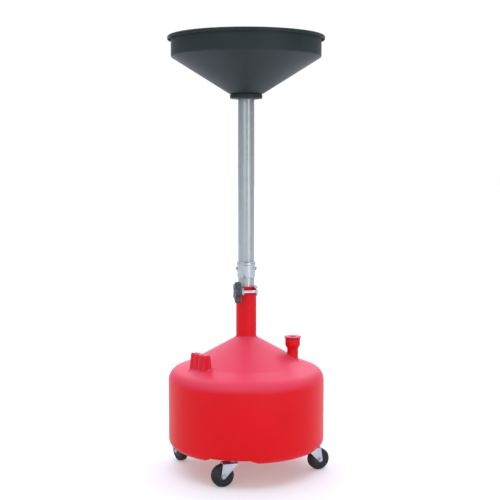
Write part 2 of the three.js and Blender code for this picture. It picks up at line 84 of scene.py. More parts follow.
CLAMP_MOUTH, BAND_THICKNESS, EAR_CORNER, EAR_BEND, EAR_REACH = 32, 2.5, 7, 3, 60
BAND_BEVEL = 0.5
BOLT_RADIUS, BOLT_REACH, BOLT_HEAD_RADIUS, BOLT_RIM, BOLT_DOME = 4, 50, 9, 1.6, 4.2
WASHER_RADIUS, WASHER_THICKNESS = 9.5, 1.6
KNOB_LOBES, KNOB_RADIUS, KNOB_LOBE, KNOB_THICKNESS, KNOB_EDGE = 5, 24, 5, 18, 5
KNOB_HUB_RADIUS, KNOB_HUB_LENGTH, KNOB_INSERT_RADIUS, KNOB_INSERT_LENGTH = 10, 2, 6.8, 11
KNOB_POINTS = 120  # round the knob

TUBE_WALL = 1.6
SLEEVE_BORE, SLEEVE_RADIUS, BEAD_HEIGHT, BEAD_EDGE = 21.5, 23.6, 9, 1.2
SCREW_RADIUS, SCREW_HEAD_RADIUS, SCREW_HEAD, SCREW_RIM = 2.5, 4.5, 4, 2.2
SOCKET_RADIUS, SOCKET_DEPTH = 1.9, 2.2

BOWL_WALL, BAND_RADIUS, BAND_BOTTOM, FOOT_RADIUS, BOWL_HOLE = 3.5, 194, 1077.5, 44, 21.6
LIP_HEIGHT, LIP_THICKNESS = 9, 3
COLLAR_FOOT, COLLAR_STEP, COLLAR_CHAMFER = 30, 1.2, 1.5
LOCK_RADIUS, LOCK_NOTCHES, NOTCH_WIDTH, NOTCH_DEPTH, NOTCH_FLOOR = 36, 4, 8, 5, 0.3
STRAINER_RADIUS, STRAINER_HOLE, RING_PITCH, RING_HOLES = 35, 2.2, 7, (6, 12)

CASTERS = ["front", "right", "rear", "left"]
TRAIL = 27
STEM_HEAD_RADIUS, STEM_HEAD, KINGPIN_RADIUS, KINGPIN_HOLE = 7.5, 1.7, 4.7, 5.3
FLANGE_RADIUS, FLANGE, SPACER_RADIUS, STEM_RADIUS = 10.5, 2.5, 8, 5
RACE_RADIUS, RACE_RIM, RACE_GROOVE, RACE_GROOVE_HEIGHT = 10.5, 1.4, 1.2, 2.2
FORK_INSIDE, FORK_THICKNESS, FORK_BEND, FORK_BEVEL, CROWN_THICKNESS = 12.3, 2, 4, 0.35, 3
CROWN_BACK, LEG_BACK, CROWN_FRONT, AXLE_END_RADIUS = 10, 7, 29, 6.5
CHANNEL_BACK, CHANNEL_FRONT, CHANNEL_FOOT = -20, 40, 10  # of the yoke before it is cut to shape
AXLE_SEAT = FORK_INSIDE + FORK_THICKNESS + GAP
AXLE_RADIUS, AXLE_HOLE, AXLE_HEAD_RADIUS, AXLE_RIM, AXLE_DOME, AXLE_TIP = 3, 3.3, 5.5, 1, 2.6, 4.5
NUT_RADIUS, NUT_HEIGHT, NUT_BORE, NUT_CHAMFER = 5.5, 3.5, 3.05, 1
TYRE_BORE, TYRE_HALF_WIDTH, TYRE_SIDE, TYRE_STEP, TREAD_EDGE = 16.3, 11, 6, 4.5, 3.5
TREAD_GROOVE, GROOVE_DEPTH = 4, 0.9
HUB_BORE, HUB_FACE, HUB_RADIUS = 3.05, 7, 16
HUB_HALF_WIDTH, HUB_RIM_HALF_WIDTH, HUB_DISH_HALF_WIDTH = 12, 10.4, 7.2

# ---- Studio, in metres and watts ---------------------------------------------------------------

SENSOR, LENS = 36, 74.1  # millimetres
CAMERA_PLACE, CAMERA_PITCH = (0.0099, -2.6873, 0.808), -4.884
FLOOR_SIZE, FLOOR_GLOW = 60, 0.28
PALE_FLOOR, GREY_FLOOR = (0.59, 0.59, 0.59), (0.27, 0.275, 0.28)
SWEEP_SIDE, SWEEP_FRONT = (8, 10), (-14, -28)  # where the white floor turns to grey
KEY_PLACE, KEY_TARGET, KEY_SIZE, KEY_POWER = (-1.2, -3.2, 2.2), (0, 0, 0.4), (2.8, 2.8), 22
SIDE_PLACE, SIDE_TARGET, SIDE_SIZE, SIDE_POWER = (1.8, -2.4, 0.9), (0, 0, 0.9), (1.5, 1.8), 15
LOW_WALL, HIGH_WALL, FAR_WALL = (0.36, 0.37, 0.38), (0.5, 0.51, 0.52), (1.0, 1.0, 1.0, 1)
SOFTBOX_DIRECTION, SOFTBOX_RADIANCE = (0, 0.4, 0.917), (2.5, 2.55, 3.1, 1)
WALL_FADE, FAR_WALL_EDGE, SOFTBOX_EDGE = (0.0, 0.6), (0.78, 0.92), (0.62, 0.76)  # as cosines

# ---- Mesh building -----------------------------------------------------------------------------


def rounded(corners, steps=6):
    """Points of a closed outline of (x, y, radius) corners, with an arc at each corner with a radius."""
    points = []
    for i, (x, y, *radius) in enumerate(corners):
        corner = Vector((x, y))
        if not radius or radius[0] == 0:
            points.append(corner)
            continue
        back = (Vector(corners[i - 1][:2]) - corner).normalized()
        ahead = (Vector(corners[(i + 1) % len(corners)][:2]) - corner).normalized()
        half = math.acos(max(-1, min(1, back.dot(ahead)))) / 2
        centre = corner + (back + ahead).normalized() * radius[0] / math.sin(half)
        start = corner + back * radius[0] / math.tan(half) - centre
        end = corner + ahead * radius[0] / math.tan(half) - centre
        sweep = math.atan2(start.cross(end), start.dot(end))
        for step in range(steps + 1):
            points.append(centre + Matrix.Rotation(sweep * step / steps, 2) @ start)
    return points


def new_object(name, bm):
    """A mesh object from a bmesh in millimetres, with its faces out."""
    bmesh.ops.remove_doubles(bm, verts=bm.verts, dist=1e-4)
    bmesh.ops.recalc_face_normals(bm, faces=bm.faces)
    mesh = bpy.data.meshes.new(name)
    bm.to_mesh(mesh)
    bm.free()
    piece = bpy.data.objects.new(name, mesh)
    bpy.context.scene.collection.objects.link(piece)
    return piece


def turned(name, corners, sides=96, steps=6):
    """A closed solid turned about Z from (radius, height, rounding) corners."""
    points = rounded(corners, steps)
    bm = bmesh.new()
    rings = []
    for point in points:
        if point.x < 1e-6:
            rings.append([bm.verts.new((0, 0, point.y))] * sides)
            continue
        angles = [TURN * i / sides for i in range(sides)]
        rings.append([
            bm.verts.new((point.x * math.cos(a), point.x * math.sin(a), point.y)) for a in angles
        ])
    on_axis = points[0].x < 1e-6 and points[-1].x < 1e-6
    pairs = list(zip(rings, rings[1:])) + ([] if on_axis else [(rings[-1], rings[0])])
    for low, high in pairs:
        for i in range(sides):
            j = (i + 1) % sides
            face = list(dict.fromkeys((low[i], low[j], high[j], high[i])))
            if len(face) > 2:
                bm.faces.new(face)
    return new_object(name, bm)


def lofted(name, rings):
    """A closed solid through rings of points, with a fan at each end."""
    bm = bmesh.new()
    made = [[bm.verts.new(point) for point in ring] for ring in rings]
    count = len(made[0])
    for low, high in zip(made, made[1:]):
        for i in range(count):
            j = (i + 1) % count
            bm.faces.new((low[i], low[j], high[j], high[i]))
    for ring in (made[0], made[-1]):
        middle = bm.verts.new(sum((v.co for v in ring), Vector()) / count)
        for i in range(count):
            bm.faces.new((ring[i], ring[(i + 1) % count], middle))
    return new_object(name, bm)


def extruded(name, points, low, high):
    """A plate whose outline lies in the XY plane, from one height to another."""
    bm = bmesh.new()
    bottom = [bm.verts.new((*point[:2], low)) for point in points]
    top = [bm.verts.new((*point[:2], high)) for point in points]
    bm.faces.new(bottom)
    bm.faces.new(top)
    for i in range(len(points)):
        j = (i + 1) % len(points)
        bm.faces.new((bottom[i], bottom[j], top[j], top[i]))
    return new_object(name, bm)


def bar(name, radius, low, high, sides=48, edge=0):
    return turned(name, [(0, low), (radius, low, edge), (radius, high, edge), (0, high)], sides, 3)


def moved(piece, matrix):
    piece.data.transform(matrix)
    return piece


def shift(x=0, y=0, z=0):
    return Matrix.Translation((x, y, z))


def turn_z(degrees):
    return Matrix.Rotation(math.radians(degrees), 4, "Z")


def applied(piece):
    """Bakes a piece's modifiers into its mesh."""
    graph = bpy.context.evaluated_depsgraph_get()
    mesh = bpy.data.meshes.new_from_object(piece.evaluated_get(graph))
    piece.modifiers.clear()
    piece.data = mesh
    return piece


def combined(piece, operation, *tools):
    """Joins, cuts or crosses a piece with tools, which are used up."""
    for tool in tools:
        modifier = piece.modifiers.new("combine", "BOOLEAN")
        modifier.operation = operation
        modifier.solver = "EXACT"
        modifier.object = tool
        applied(piece)
        bpy.data.objects.remove(tool)
    return piece


def bevelled(piece, width, segments=2, angle=35):
    modifier = piece.modifiers.new("bevel", "BEVEL")
    modifier.width = width
    modifier.segments = segments
    modifier.limit_method = "ANGLE"
    modifier.angle_limit = math.radians(angle)
    modifier.use_clamp_overlap = True
    return applied(piece)


def shown(piece, body, slot, material, *nodes, sharp=32):
    """Brings a piece from millimetres to metres, dresses it and puts it in its nodes' place."""
    piece.data.transform(Matrix.Scale(MM, 4))
    piece.data.shade_smooth()
    piece.data.set_sharp_from_angle(angle=math.radians(sharp))
    piece.data.materials.clear()
    piece.data.materials.append(material)
    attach(piece, body)
    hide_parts(*nodes)
    return piece


def box_mm(node):
    low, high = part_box(node)
    return low / MM, high / MM


def joint(name):
    return next(j for j in frame["joints"] if j["name"] == name)


# ---- Materials ---------------------------------------------------------------------------------


def noise(tree, scale, detail=3, roughness=0.5, stretch=(1, 1, 1)):
    """A noise texture in the object's own space, and its factor."""
    nodes, links = tree.nodes, tree.links
    place = nodes.new("ShaderNodeTexCoord")
    mapping = nodes.new("ShaderNodeMapping")
    mapping.inputs["Scale"].default_value = stretch
    texture = nodes.new("ShaderNodeTexNoise")
    texture.inputs["Scale"].default_value = scale
    texture.inputs["Detail"].default_value = detail
    texture.inputs["Roughness"].default_value = roughness
    links.new(place.outputs["Object"], mapping.inputs["Vector"])
    links.new(mapping.outputs["Vector"], texture.inputs["Vector"])
    return texture.outputs["Fac"]


def spread(tree, value, low, high, start=0.3, end=0.7):
    """Maps a noise value from between start and end to between low and high."""
    node = tree.nodes.new("ShaderNodeMapRange")
    node.inputs["From Min"].default_value = start
    node.inputs["From Max"].default_value = end
    node.inputs["To Min"].default_value = low
    node.inputs["To Max"].default_value = high
    tree.links.new(value, node.inputs["Value"])
    return node.outputs["Result"]


def blended(tree, value, first, second, start=0.3, end=0.7):
    """A colour that goes from first to second with a noise value."""
    ramp = tree.nodes.new("ShaderNodeValToRGB")
    ramp.color_ramp.elements[0].position = start
    ramp.color_ramp.elements[1].position = end
    ramp.color_ramp.elements[0].color = (*first, 1)
    ramp.color_ramp.elements[1].color = (*second, 1)
    tree.links.new(value, ramp.inputs["Fac"])
    return ramp.outputs["Color"]


def bumped(tree, shader, *layers):
    """Stacks bumps on a shader. A layer is a noise value, its strength and its height in metres."""
    normal = None
    for value, strength, height in layers:
        bump = tree.nodes.new("ShaderNodeBump")
        bump.inputs["Strength"].default_value = strength
        bump.inputs["Distance"].default_value = height
        tree.links.new(value, bump.inputs["Height"])
        if normal:
            tree.links.new(normal, bump.inputs["Normal"])
        normal = bump.outputs["Normal"]
    tree.links.new(normal, shader.inputs["Normal"])


def new_material(name, metallic=0.0, specular=0.5):
    material = bpy.data.materials.new(name)
    material.use_nodes = True
    tree = material.node_tree
    shader = tree.nodes["Principled BSDF"]
    shader.inputs["Metallic"].default_value = metallic
    shader.inputs["Specular IOR Level"].default_value = specular
    return material, tree, shader


def painted_top_highlight(tree, colour, highlight_colour, start, end):
    """Painted highlight: a colour that pales towards pink on faces that look up, standing in for the
    sheen of the overhead softbox.
    """
    place = tree.nodes.new("ShaderNodeTexCoord")
    axes = tree.nodes.new("ShaderNodeSeparateXYZ")
    tree.links.new(place.outputs["Normal"], axes.inputs["Vector"])
    mix = tree.nodes.new("ShaderNodeMix")
    mix.data_type = "RGBA"
    mix.inputs["B"].default_value = (*highlight_colour, 1)
    tree.links.new(spread(tree, axes.outputs["Z"], 0, 1, start, end), mix.inputs["Factor"])
    tree.links.new(colour, mix.inputs["A"])
    return mix.outputs["Result"]


def poly_material(name, dark, light, rough_low, rough_high, specular=0.5, highlight_colour=None):
    """Moulded polyethylene: orange-peel skin, faint cloudy colour, slow waviness and, if given, a
    painted highlight on faces that look up.
    """
    material, tree, shader = new_material(name, specular=specular)
    cloud = noise(tree, 9, 4)
    fine = noise(tree, 900, 2)
    peel = noise(tree, 330, 2)
    wave = noise(tree, 22, 1)
    colour = blended(tree, cloud, dark, light)
    # Painted highlight: faces that look up pale towards the highlight colour, for the overhead softbox's
    # sheen.
    if highlight_colour:
        colour = painted_top_highlight(tree, colour, highlight_colour, 0.0, 0.45)
    tree.links.new(colour, shader.inputs["Base Color"])
    tree.links.new(spread(tree, cloud, rough_low, rough_high), shader.inputs["Roughness"])
    bumped(tree, shader, (wave, 0.25, 0.0008), (peel, 0.12, 0.0004), (fine, 0.10, 0.00015))
    return material


def steel_surface(name, dark, light, rough_low, rough_high, stretch=(1, 1, 1), grain=500):
    """Zinc-plated or bright steel: cloudy plating over a fine drawn or rolled grain."""
    material, tree, shader = new_material(name, metallic=1.0)
    plating = noise(tree, 40, 5, 0.6)
    drawn = noise(tree, grain, 3, 0.6, stretch)
    tree.links.new(blended(tree, plating, dark, light), shader.inputs["Base Color"])
    tree.links.new(spread(tree, drawn, rough_low, rough_high), shader.inputs["Roughness"])
    bumped(tree, shader, (drawn, 0.08, 0.0001), (plating, 0.06, 0.0002))
    return material, tree, shader


def steel_material(name, dark, light, rough_low, rough_high):
    return steel_surface(name, dark, light, rough_low, rough_high)[0]


def rubber_material(name, dark, light, grain, strength):
    """Matt rubber with a coarse, slightly dusty grain."""
    material, tree, shader = new_material(name, specular=0.4)
    dust = noise(tree, 120, 6, 0.7)
    tooth = noise(tree, grain, 3, 0.6)
    tree.links.new(blended(tree, dust, dark, light, 0.4, 0.75), shader.inputs["Base Color"])
    tree.links.new(spread(tree, tooth, 0.6, 0.85), shader.inputs["Roughness"])
    bumped(tree, shader, (tooth, strength, 0.0006))
    return material


def tube_material(name, dark, light):
    """Zinc-plated tube, ground round and round, so that it mirrors in long upright bands."""
    material, tree, shader = steel_surface(name, dark, light, 0.36, 0.44, (1, 1, 0.03), 700)
    tangent = tree.nodes.new("ShaderNodeTangent")
    tangent.direction_type = "RADIAL"
    tangent.axis = "Z"
    tree.links.new(tangent.outputs["Tangent"], shader.inputs["Tangent"])
    shader.inputs["Anisotropic"].default_value = 0.8
    shader.inputs["Anisotropic Rotation"].default_value = 0.25
    return material


# The last colour is a painted highlight that turns the tank's upward faces pink, as the overhead
# softbox's sheen does.
red_poly = poly_material(
    "red_poly", (0.66, 0.003, 0.006), (0.72, 0.004, 0.009), 0.34, 0.42, 0.13, (0.70, 0.050, 0.090),
)
black_poly = poly_material(
    "black_poly", (0.009, 0.018, 0.018), (0.015, 0.026, 0.026), 0.42, 0.54, 0.25,
)
tube_steel = tube_material("tube_steel", (0.40, 0.44, 0.44), (0.44, 0.48, 0.48))
# Painted light: the drop tube gets a brighter copy of the tube's zinc, to offset the shade it mirrors
# from the clamp and knob.
drop_steel_painted_bright = tube_material("drop_steel_painted_bright", (0.48, 0.52, 0.52), (0.55, 0.59, 0.59))
sleeve_steel = steel_material("sleeve_steel", (0.39, 0.43, 0.43), (0.48, 0.52, 0.52), 0.26, 0.4)
zinc_steel = steel_material("zinc_steel", (0.38, 0.43, 0.47), (0.54, 0.58, 0.62), 0.28, 0.42)
clamp_steel = steel_material("clamp_steel", (0.74, 0.76, 0.78), (0.84, 0.86, 0.88), 0.12, 0.22)
brass = steel_material("brass", (0.55, 0.40, 0.17), (0.66, 0.50, 0.24), 0.25, 0.4)
knob_plastic = poly_material("knob_plastic", (0.035, 0.043, 0.055), (0.05, 0.06, 0.074), 0.35, 0.5)
hub_plastic = poly_material("hub_plastic", (0.02, 0.022, 0.026), (0.03, 0.033, 0.037), 0.4, 0.55)
tyre_rubber = rubber_material("tyre_rubber", (0.009, 0.010, 0.012), (0.035, 0.038, 0.043), 900, 0.5)
seal_rubber = rubber_material("seal_rubber", (0.014, 0.014, 0.015), (0.03, 0.03, 0.032), 700, 0.2)


def kept(node, material):
    """A CAD node whose shape is right, with a better material."""
    piece = frame["nodes"][node]
    piece.data.materials.clear()
    piece.data.materials.append(material)


# ---- Tank --------------------------------------------------------------------------------------


def polar(azimuth, reach):
    return (reach * math.cos(math.radians(azimuth)), reach * math.sin(math.radians(azimuth)))


def tank_corners(inset, neck_radius, neck_top, crease_corner):
    """The tank's profile: its outside, or its cavity where the inset is the wall."""
    low, high = box_mm("tank")
    side = high.x - inset
    cone = CREASE_HEIGHT + CONE_SLOPE * CREASE_RADIUS - inset * math.hypot(1, CONE_SLOPE)
    rim = CREASE_HEIGHT + RIM_SLOPE * CREASE_RADIUS - inset * math.hypot(1, RIM_SLOPE)
    crease = (cone - rim) / (CONE_SLOPE - RIM_SLOPE)
    return [
        (0, low.z + inset),
        (side, low.z + inset, FLOOR_CORNER - inset),
        (side, rim - RIM_SLOPE * side, SHOULDER_CORNER - inset),
        (crease, cone - CONE_SLOPE * crease, crease_corner),
        (neck_radius, cone - CONE_SLOPE * neck_radius, NECK_FILLET),
        (neck_radius, neck_top, NECK_LIP),
        (0, neck_top),
    ]


def roof_height(radius):
    """Height of the tank's outside roof at a radius."""
    points = [p for p in rounded(tank_outline, 12) if p.y > CREASE_HEIGHT - 60]
    for outer, inner in zip(points, points[1:]):
        if inner.x <= radius <= outer.x and outer.x > inner.x:
            return outer.y + (inner.y - outer.y) * (outer.x - radius) / (outer.x - inner.x)
    return points[0].y


def on_roof(x, y, lift):
    return Vector((x, y, roof_height(math.hypot(x, y)) + lift))


def skirt(points, normals, fillet, depths, steps=6):
    """Rings that flare from a wall's foot on to the roof, tangent to it, where its flutes run out."""
    shapes = [(fillet + FOOT_SINK, -FOOT_SINK, 0)]
    for step in range(steps, -1, -1):
        angle = math.pi / 2 * step / steps
        shapes.append((fillet * (1 - math.cos(angle)), fillet * (1 - math.sin(angle)), math.cos(angle)))
    rings = []
    for out, lift, fluting in shapes:
        ring = []
        for point, normal, depth in zip(points, normals, depths):
            place = point + normal * (out - depth * fluting)
            ring.append(on_roof(place.x, place.y, lift))
        rings.append(ring)
    return rings


def sunk(ring):
    """A copy of a ring, well below the roof."""
    return [point - Vector((0, 0, FOOT_DEPTH)) for point in ring]


def spout_solid():
    """The spout's outside, with a flare at its foot."""
    x, y = polar(*spout_place())
    sides = 72
    normals = [Vector(polar(360 * i / sides, 1)) for i in range(sides)]
    foot = [Vector((x, y)) + n * SPOUT_NECK for n in normals]
    rings = skirt(foot, normals, SPOUT_FILLET, [0] * sides)
    profile = rounded([
        (SPOUT_NECK, SPOUT_TAPER_BOTTOM - 8),
        (SPOUT_NECK, SPOUT_TAPER_BOTTOM, 6),
        (SPOUT_HEAD, SPOUT_TAPER_TOP, 3),
        (SPOUT_HEAD, SPOUT_TOP, SOFT_EDGE),
        (SPOUT_HEAD_BORE - 2, SPOUT_TOP),
    ])[1:]
    for point in profile:
        rings.append([Vector((x + n.x * point.x, y + n.y * point.x, point.y)) for n in normals])
    return lofted("spout", [sunk(rings[0])] + rings)


def spout_place():
    """Azimuth and reach of the spout's axis, from its cap."""
    low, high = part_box("spout_cap")
    middle = (low + high) / 2 / MM
    return math.degrees(math.atan2(middle.y, middle.x)), math.hypot(middle.x, middle.y)


def flute(distance):
    """Depth of a flute at a distance from its middle: one wave of a cosine."""
    if abs(distance) > FLUTE_HALF_WIDTH:
        return 0
    return FLUTE_DEPTH * (1 + math.cos(math.pi * distance / FLUTE_HALF_WIDTH)) / 2


def resampled(points, spacing):
    """A closed outline with a point about every spacing."""
    result = []
    for i, point in enumerate(points):
        after = points[(i + 1) % len(points)]
        count = max(1, round((after - point).length / spacing))
        result += [point.lerp(after, step / count) for step in range(count)]
    return result


def grip_plan():
    """The grip's plan at its foot: its points and outward normals, and how deep it is fluted there."""
    back, half = GRIP_FACE - GRIP_DEPTH, GRIP_WIDTH / 2
    plan = resampled(rounded([
        (back, -half, GRIP_CORNER), (GRIP_FACE, -half, GRIP_CORNER),
        (GRIP_FACE, half, GRIP_CORNER), (back, half, GRIP_CORNER),
    ], 8), GRIP_STEP)
    rotate = Matrix.Rotation(math.radians(GRIP_AZIMUTH), 2)
    points, normals, depths = [], [], []
    for i, point in enumerate(plan):
        along = plan[(i + 1) % len(plan)] - plan[i - 1]
        if point.x > GRIP_FACE - 0.1:
            depth = max(flute(point.y - lane * FLUTE_PITCH) for lane in FLUTE_LANES)
        elif abs(point.y) > half - 0.1:
            depth = flute(point.x - (back + GRIP_FACE) / 2)
        else:
            depth = 0
        points.append(rotate @ point)
        normals.append(rotate @ Vector((along.y, -along.x)).normalized())
        depths.append(depth)
    return points, normals, depths


def grip_solid():
    """The moulded grip: fluted walls that lean in, a rounded top edge and a flare at its foot."""
    points, normals, depths = grip_plan()
    rings = skirt(points, normals, GRIP_FILLET, depths)
    foot = [point.z for point in rings[-1]]
    edge = GRIP_TOP - GRIP_EDGE

    def wall(heights, inset):
        ring = []
        for point, normal, depth, start, height in zip(points, normals, depths, foot, heights):
            lean = max(0, height - start) * GRIP_DRAFT
            ring.append(Vector((*(point - normal * (lean + inset + depth)), height)))
        return ring

    for share in (0.25, 0.5, 0.75, 1):
        rings.append(wall([start + (edge - start) * share for start in foot], 0))
    for step in range(1, 7):
        angle = math.pi / 2 * step / 6
        height = edge + GRIP_EDGE * math.sin(angle)
        rings.append(wall([height] * len(points), GRIP_EDGE * (1 - math.cos(angle))))
    middle = sum(rings[-1], Vector()) / len(points)
    top = rings[-1]
    for share in (0.75, 0.45, 0.15):
        rise = Vector((0, 0, GRIP_CROWN * (1 - share)))
        rings.append([middle.lerp(point, share) + rise for point in top])
    return lofted("grip", [sunk(rings[0])] + rings)


def pocket(offset):
    """The space above a caster, with a wall that slopes outwards to the tank's floor."""
    top = POCKET_TOP + offset
    radius = POCKET_RADIUS + offset
    foot = radius + POCKET_SLOPE * (top - POCKET_BOTTOM)
    return turned("pocket", [
        (0, POCKET_BOTTOM), (foot, POCKET_BOTTOM), (radius, top, POCKET_EDGE), (0, top),
    ])


def at_casters(shape):
    """Copies of a tool, which is used up, at the four casters' swivel axes."""
    copies = []
    for caster in CASTERS:
        x, y, _ = joint(f"caster_{caster}_swivel_turn")["pos_m"]
        copy = bpy.data.objects.new(shape.name, shape.data.copy())
        bpy.context.scene.collection.objects.link(copy)
        copies.append(moved(copy, shift(x / MM, y / MM)))
    bpy.data.objects.remove(shape)
    return copies


def spout_bore():
    """The spout's bore, which widens in its head."""
    bore = turned("spout_bore", [
        (0, SPOUT_BORE_BOTTOM), (SPOUT_BORE, SPOUT_BORE_BOTTOM), (SPOUT_BORE, SPOUT_TAPER_BOTTOM, 4),
        (SPOUT_HEAD_BORE, SPOUT_TAPER_TOP, 3), (SPOUT_HEAD_BORE, SPOUT_TOP + CUT), (0, SPOUT_TOP + CUT),
    ], 72)
    return moved(bore, shift(*polar(*spout_place())))


def tank_hollow():
    """The tank's cavity, clear of the walls of its caster pockets and bosses, and the spout's bore."""
    above = box_mm("tank")[1].z + 10
    shape = tank_corners(TANK_WALL, NECK_BORE, above, 0)[:-2] + [(NECK_BORE, above), (0, above)]
    hollow = turned("hollow", shape)
    combined(hollow, "DIFFERENCE", *at_casters(pocket(TANK_WALL)))
    boss = bar("boss", BOSS_RADIUS, POCKET_BOTTOM, INSERT_HOLE_TOP + TANK_WALL, 96)
    combined(hollow, "DIFFERENCE", *at_casters(boss))
    return combined(hollow, "UNION", spout_bore())


def neck_slot():
    """A cut right across the neck, which leaves two slots so that the clamp can close it."""
    end, half = NECK_SLOT_LENGTH / 2, NECK_SLOT_WIDTH / 2
    plan = [(-end, -half), (end, -half), (end, half), (-end, half)]
    slot = extruded("slot", plan, NECK_SLOT_BOTTOM, box_mm("tank")[1].z + CUT)
    return moved(slot, turn_z(CLAMP_AZIMUTH - 90))


def make_tank():
    body = turned("tank_shell", tank_outline, 192, 10)
    combined(body, "UNION", spout_solid(), grip_solid())
    combined(body, "DIFFERENCE", tank_hollow(), neck_slot())
    combined(body, "DIFFERENCE", *at_casters(pocket(0)))
    insert_hole = bar("insert_hole", INSERT_HOLE, POCKET_BOTTOM, INSERT_HOLE_TOP, 96)
    combined(body, "DIFFERENCE", *at_casters(insert_hole))
    shown(body, "tank", "red_poly", red_poly, "tank", sharp=28)


def make_spout_cap():
    low, high = box_mm("spout_cap")
    flange, recess = high.z - CAP_FLANGE, high.z - RECESS_DEPTH
    cap = turned("spout_plug", [
        (0, low.z), (PLUG_RADIUS, low.z, PLUG_CHAMFER), (PLUG_RADIUS, flange),
        (CAP_RADIUS, flange, 0.8), (CAP_RADIUS, high.z, 1.2), (RECESS_MOUTH, high.z, SOFT_EDGE),
        (RECESS_RADIUS, high.z - 3, 2), (RECESS_RADIUS, recess, 1.5), (0, recess),
    ], 72)
    place = shift(*polar(*spout_place()))
    shown(moved(cap, place), "spout_cap", "red_poly", red_poly, "spout_cap")
    low, high = box_mm("spout_cap_gasket")
    seal = turned("spout_seal", [
        (SPOUT_HEAD_BORE, low.z, FINE_EDGE), (SPOUT_HEAD, low.z, 0.5), (SPOUT_HEAD, high.z, 0.5),
        (SPOUT_HEAD_BORE, high.z, FINE_EDGE),
    ], 72, 3)
    shown(moved(seal, place), "spout_cap", "rubber", seal_rubber, "spout_cap_gasket")


# ---- Clamp -------------------------------------------------------------------------------------


def strap_edge(radius, half_mouth):
    """One edge of the strap's plan, from an ear's tip, round the neck, to the other ear's tip."""
    corner = Vector((math.sqrt(radius ** 2 - half_mouth ** 2), half_mouth))
    start = math.degrees(math.asin((half_mouth + EAR_BEND) / radius))
    sweep = 360 - 2 * start
    ring = [Vector(polar(start + sweep * i / 64, radius)) for i in range(65)]
    ear = corner + Vector((EAR_BEND, 0))
    bend = []
    for i in range(7):
        share = i / 6
        bend.append(ear.lerp(corner, share).lerp(corner.lerp(ring[0], share), share))
    far_bend = [Vector((point.x, -point.y)) for point in reversed(bend)]
    tips = Vector((EAR_REACH, half_mouth)), Vector((EAR_REACH, -half_mouth))
    return [tips[0]] + bend + ring[1:-1] + far_bend + [tips[1]]


def band_outline():
    """The strap's plan: round the neck, open towards +X, with an ear along each side."""
    inner, near = NECK_RADIUS + GAP, CLAMP_MOUTH / 2
    outside = strap_edge(inner + BAND_THICKNESS, near + BAND_THICKNESS)
    return outside + strap_edge(inner, near)[::-1]


def make_band(place, middle):
    """The strap, cut from an upright extrusion of its plan by the shape of its ears."""
    low, high = box_mm("clamp_band")
    band = extruded("clamp_strap", band_outline(), low.z, high.z)
    ears = rounded([
        (-EAR_REACH, low.z - 5), (EAR_REACH, low.z, EAR_CORNER), (EAR_REACH, high.z, EAR_CORNER),
        (-EAR_REACH, high.z + 5),
    ], 8)
    face = extruded("ears", ears, -EAR_REACH, EAR_REACH)
    moved(face, Matrix.Rotation(math.pi / 2, 4, "X"))
    hole = moved(bar("hole", BOLT_RADIUS + GAP, -CUTTER, CUTTER), along_bolt(middle))
    combined(band, "INTERSECT", face)
    combined(band, "DIFFERENCE", hole)
    bevelled(band, BAND_BEVEL)
    shown(moved(band, place), "tank", "clamp_steel", zinc_steel, "clamp_band")


def make_bolt(line, seat, tip):
    bolt = turned("clamp_carriage_bolt", [
        (0, -seat - BOLT_DOME), (5, -seat - BOLT_DOME + 0.2, 4),
        (BOLT_HEAD_RADIUS, -seat - BOLT_RIM, 1.5), (BOLT_HEAD_RADIUS, -seat, FINE_EDGE),
        (BOLT_RADIUS, -seat), (BOLT_RADIUS, tip, SOFT_EDGE), (0, tip),
    ], 48)
    shown(moved(bolt, line), "tank", "clamp_steel", clamp_steel, "clamp_bolt")


def make_washer(line, seat):
    bore, far = BOLT_RADIUS + GAP, seat + WASHER_THICKNESS
    washer = turned("clamp_flat_washer", [
        (bore, seat, 0.2), (WASHER_RADIUS, seat, 0.4), (WASHER_RADIUS, far, 0.4), (bore, far, 0.2),
    ], 64, 3)
    shown(moved(washer, line), "tank", "clamp_steel", clamp_steel, "clamp_washer")


def make_clamp():
    """The strap round the neck, with the bolt across its ears and the knob on the bolt."""
    low, high = box_mm("clamp_band")
    middle = (low.z + high.z) / 2
    place = turn_z(CLAMP_AZIMUTH)
    line = place @ along_bolt(middle)
    seat = CLAMP_MOUTH / 2 + BAND_THICKNESS + GAP
    knob_near = seat + WASHER_THICKNESS + GAP
    make_band(place, middle)
    make_bolt(line, seat, knob_near + KNOB_HUB_LENGTH + KNOB_INSERT_LENGTH)
    make_washer(line, seat)
    make_knob(line, knob_near)
    kept("clamp_knob_insert", brass)


def along_bolt(height):
    """From the Z axis to the bolt's line, with the knob towards -Y."""
    return shift(BOLT_REACH, 0, height) @ Matrix.Rotation(math.pi / 2, 4, "X")


def star(inset, height):
    """A ring round the knob's lobes."""
    angles = [TURN * i / KNOB_POINTS for i in range(KNOB_POINTS)]
    radii = [KNOB_RADIUS + KNOB_LOBE * math.cos(KNOB_LOBES * a) - inset for a in angles]
    return [Vector((r * math.cos(a), r * math.sin(a), height)) for a, r in zip(angles, radii)]


def knob_circle(radius, height):
    """A round ring with as many points as the lobes' rings."""
    return [Vector((*polar(360 * i / KNOB_POINTS, radius), height)) for i in range(KNOB_POINTS)]


